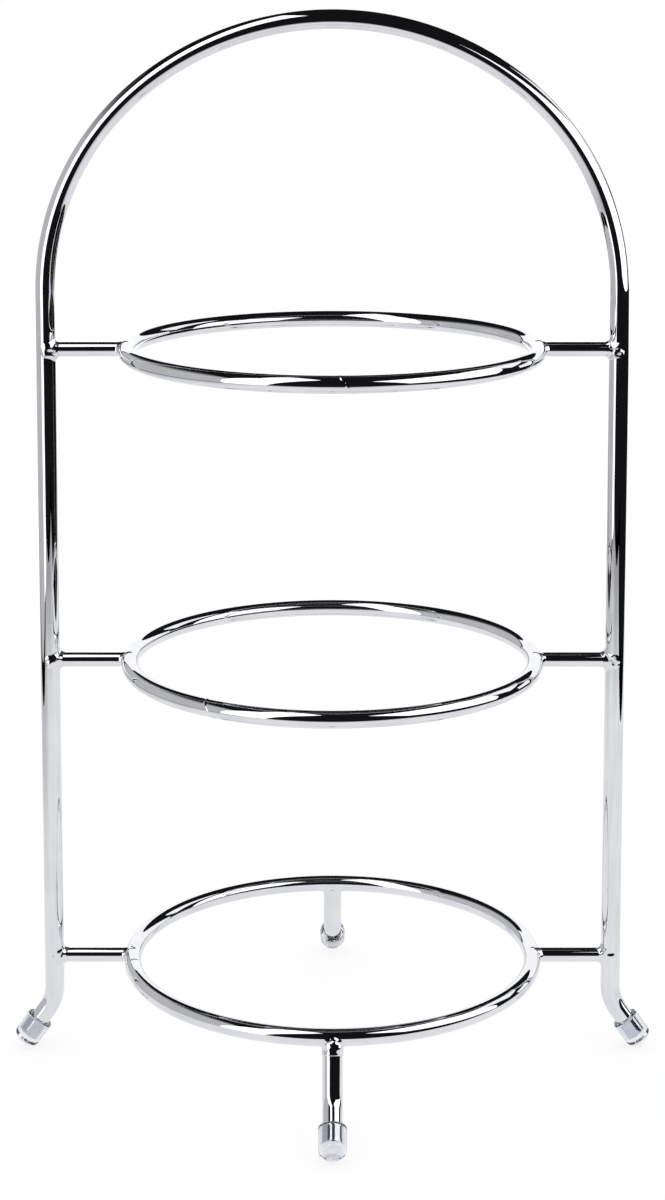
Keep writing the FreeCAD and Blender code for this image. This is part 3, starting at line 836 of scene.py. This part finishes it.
def stage_card(name, corners, material, seen_by=("glossy", "transmission")):
    """A card that isn't part of the stand, and the kinds of ray that can see it."""
    mesh = bpy.data.meshes.new(name)
    mesh.from_pydata(corners, [], [tuple(range(len(corners)))])
    mesh.materials.append(material)
    card = bpy.data.objects.new(name, mesh)
    bpy.context.scene.collection.objects.link(card)
    for ray in ("camera", "diffuse", "glossy", "transmission", "volume_scatter", "shadow"):
        setattr(card, f"visible_{ray}", ray in seen_by)
    return card


print("card helpers ready")

# %% [markdown]
# ## Paint for the cards
# Most cards are plain white paper with light on it, and one is a grey wall that gets darker with
# height, as a wall does that is lit from below. A gradient picture would do for the wall, but its
# height is known at every point, so the glow is worked out from that.

# %% White and grey cards
GREY_FADES = (0.62, 1.0)              # from this height to this one
GREY_GLOW = (0.57, 0.04)


def plain_card(name, strength):
    """A white card that glows evenly."""
    material, tree, _ = shader_tree(name)
    glow_in_mirrors(tree, (1.0, 1.0, 1.0), strength)
    return material


def grey_card():
    """A grey wall whose glow fades between two heights."""
    material, tree, _ = shader_tree("grey_card")
    place = add(tree, "TexCoord").outputs["Object"]
    height = add(tree, "SeparateXYZ", Vector=place).outputs["Z"]
    level = spread(tree, height, *GREY_FADES, *GREY_GLOW, "SMOOTHSTEP")
    glow_in_mirrors(tree, (0.97, 0.98, 1.0), level)
    return material


white = plain_card("sweep_white", 1.12)
soft_light = plain_card("soft_light_white", 1.6)
grey = grey_card()
print("card finishes", [paint.name for paint in (white, soft_light, grey)])

# %% [markdown]
# ## The cards
# A white sweep behind the stand, with a high piece at its right, makes the pale stretches on the
# parts that look back. Soft lights at the front left and the right make the white streaks, and the
# grey wall on the left makes the soft grey strips. Wherever there is no card, the dark room makes
# the black bands. Area lamps could replace the soft lights, but they would light the floor too, and
# come only as rectangles and discs.

# %% Put up the cards
WALL = -0.71                          # metres to the left of the stand
cards = {
    "sweep": (white, [(-0.79, 1.6, 0), (3.36, 1.6, 0), (3.36, 1.6, 0.85), (-0.79, 1.6, 0.85)]),
    "high_sweep": (white, [(1.0, 1.25, 1.15), (3.36, 1.25, 1.15), (3.36, 0.5, 3.53),
                           (2.6, 0.5, 3.53)]),
    "left_grey_wall": (grey, [(WALL, -0.45, 0), (WALL, 1.29, 0), (WALL, 1.29, 1.12),
                              (WALL, 0.15, 1.12), (WALL, -0.45, 0.77)]),
    "left_soft_light": (soft_light, [(WALL, -0.45, 0), (-0.51, -0.76, 0), (-0.15, -0.56, 1.03),
                                     (-1.89, -1.18, 3.97)]),
    "left_high_light": (soft_light, [(-1.89, -1.18, 3.97), (-0.15, -0.56, 1.03),
                                     (-0.06, -0.40, 0.97), (-0.29, 0.24, 1.89)]),
    "right_soft_light": (soft_light, [(0.31, -0.41, 0.28), (2.68, 0.2, 0), (0.26, 0.04, 0.49),
                                      (0.16, -0.42, 0.6)]),
}
for name, (material, corners) in cards.items():
    stage_card(name, corners, material)
print("cards up:", list(cards))

# %% [markdown]
# ## The table top
# The stand's uprights and the undersides of its rings mirror the table in broad pale bands, which
# grow dimmer towards edges that the soft lights don't reach. A texture of a table could give that.
# Distances from its edges do it with no picture: each edge's distance is a sum of the place's X and
# Y times a slope, the nearest edge ends the table, and two of them dim it. Slow blobs of noise over
# the glow are painted light and shade, in place of the stand's soft shadows and uneven light on it.

# %% Make the table top
TABLE_EDGES = {"left": ((1, 0, 0), 0.613), "right": ((-1, 0.1, 0), 0.583),
               "front": ((-0.05, 1, 0), 0.86)}       # slope, and reach from the middle
DIM_EDGES = {"left": (0.42, 0.68), "front": (0.45, 0.45)}        # how far in, and light at the edge
TABLE_GLOW = 0.92
# the next two set painted light and shade: slow blobs that dim and brighten the table's glow
TABLE_PAINTED_LIGHT_BLOBS = 9                      # blobs a metre
TABLE_PAINTED_LIGHT_RANGE = (0.92, 1.06)          # how much they dim it and brighten it
TABLE_SIDE = 0.7                      # metres from the middle to the card's sides,
TABLE_FRONT = -0.95                   # and where its front
TABLE_REAR = 1.6                      # and rear are


def make_table():
    """White in the middle, dimmer near the left and front edges, and nothing past the nearest."""
    material, tree, _ = shader_tree("table_white")
    place = add(tree, "TexCoord").outputs["Object"]

    def inside(side):
        """How far in from an edge: place . slope + reach."""
        slope, reach = TABLE_EDGES[side]
        along_slope = add(tree, "VectorMath", {"operation": "DOT_PRODUCT"})
        fill(tree, along_slope.inputs[0], place)
        fill(tree, along_slope.inputs[1], slope)
        return math_node(tree, "ADD", along_slope.outputs["Value"], reach)

    edges = {side: inside(side) for side in TABLE_EDGES}
    nearest = math_node(tree, "MINIMUM", edges["left"], edges["right"])
    nearest = math_node(tree, "MINIMUM", nearest, edges["front"])
    shares = [spread(tree, edges[side], 0.0, reach, at_edge, 1.0, "SMOOTHSTEP")
              for side, (reach, at_edge) in DIM_EDGES.items()]
    shares.append(math_node(tree, "GREATER_THAN", nearest, 0.0))
    # painted light and shade: slow noise dims and brightens the table's glow in blobs
    clouds = noise(tree, place, TABLE_PAINTED_LIGHT_BLOBS, 2.0)
    shares.append(spread(tree, clouds, 0.3, 0.7, *TABLE_PAINTED_LIGHT_RANGE))
    level = TABLE_GLOW
    for share in shares:
        level = math_node(tree, "MULTIPLY", level, share)
    glow_in_mirrors(tree, (0.985, 0.99, 1.0), level)
    return material


stage_card("table", [(-TABLE_SIDE, TABLE_FRONT, 0), (TABLE_SIDE, TABLE_FRONT, 0),
                     (TABLE_SIDE, TABLE_REAR, 0), (-TABLE_SIDE, TABLE_REAR, 0)], make_table())
print("table edges", TABLE_EDGES)

# %% [markdown]
# ## The floor
# The camera needs a white ground that still takes the stand's soft shadow. A floor that glows fully
# white would hide the shadow, and one that only reflects would come out grey. So it glows most of
# the way and gets the rest from the light that falls on it. Mirrors don't see it: they see the
# table, the cards and the room. A path that meets a mirror and then clear plastic finds it dark.

# %% Lay the floor
FLOOR = -0.5 * MM                     # just under the table
FLOOR_SIZE = 8                        # metres from the middle to each edge
FLOOR_GLOW = 0.80


def make_floor():
    """A dull floor that glows by itself on paths that haven't been mirrored."""
    material, tree, shader = shader_tree("pale_floor")
    unmirrored = math_node(tree, "SUBTRACT", 1.0, mirrored_share(tree))
    fill(tree, shader.inputs["Base Color"], (0.22, 0.22, 0.22, 1))
    fill(tree, shader.inputs["Roughness"], 1.0)
    fill(tree, shader.inputs["Specular IOR Level"], 0.0)
    fill(tree, shader.inputs["Emission Color"], (1, 1, 1, 1))
    fill(tree, shader.inputs["Emission Strength"], math_node(tree, "MULTIPLY", unmirrored, FLOOR_GLOW))
    return material


stage_card("floor", [(-FLOOR_SIZE, -FLOOR_SIZE, FLOOR), (FLOOR_SIZE, -FLOOR_SIZE, FLOOR),
                     (FLOOR_SIZE, FLOOR_SIZE, FLOOR), (-FLOOR_SIZE, FLOOR_SIZE, FLOOR)],
           make_floor(), seen_by=("camera", "diffuse", "transmission", "shadow"))
print("floor", 2 * FLOOR_SIZE, "metres wide at", FLOOR)

# %% [markdown]
# ## Light and room
# The stand is lit by a plain even sky of soft light, which gives diffuse things their colour as
# written. Lamps could light it too, but each one would show in the chrome as one more card. What
# mirrors see is another matter: past the cards the room is dark. The world tells the two apart by
# how the ray got there: once a ray has been mirrored, it sees the dark room, and until then white.

# %% World
DARK_ROOM = (0.008, 0.008, 0.009, 1)


def make_world():
    """White for rays that have not been mirrored yet, and a dark room for those that have."""
    world = bpy.data.worlds.new("studio")
    bpy.context.scene.world = world
    world.use_nodes = True
    tree = world.node_tree
    colour = add(tree, "Mix", {"data_type": "RGBA"}, Factor=mirrored_share(tree))
    colour.inputs["A"].default_value = (1, 1, 1, 1)
    colour.inputs["B"].default_value = DARK_ROOM
    fill(tree, tree.nodes["Background"].inputs["Color"], colour.outputs["Result"])
    return world


print("world", make_world().name)

# %% [markdown]
# ## Camera
# The camera stands about a metre away, a little above the top plate, and looks slightly down. Its
# lens is shifted down as on a view camera, which keeps the uprights close to parallel. Aiming it
# straight at the stand's middle would do without the shift, but then the uprights would lean.

# %% Camera
CAMERA_PLACE = (0.0, -1.0714, 0.4714)
CAMERA_PITCH = math.radians(7.5)
camera_data = bpy.data.cameras.new("camera")
camera_data.lens = 79.71
camera_data.sensor_width = 36
camera_data.shift_y = -0.275
camera = bpy.data.objects.new("camera", camera_data)
camera.location = CAMERA_PLACE
camera.rotation_euler = (math.pi / 2 - CAMERA_PITCH, 0, 0)
bpy.context.scene.collection.objects.link(camera)
bpy.context.scene.camera = camera
bpy.context.scene.view_settings.view_transform = "Standard"
print("camera at", CAMERA_PLACE)
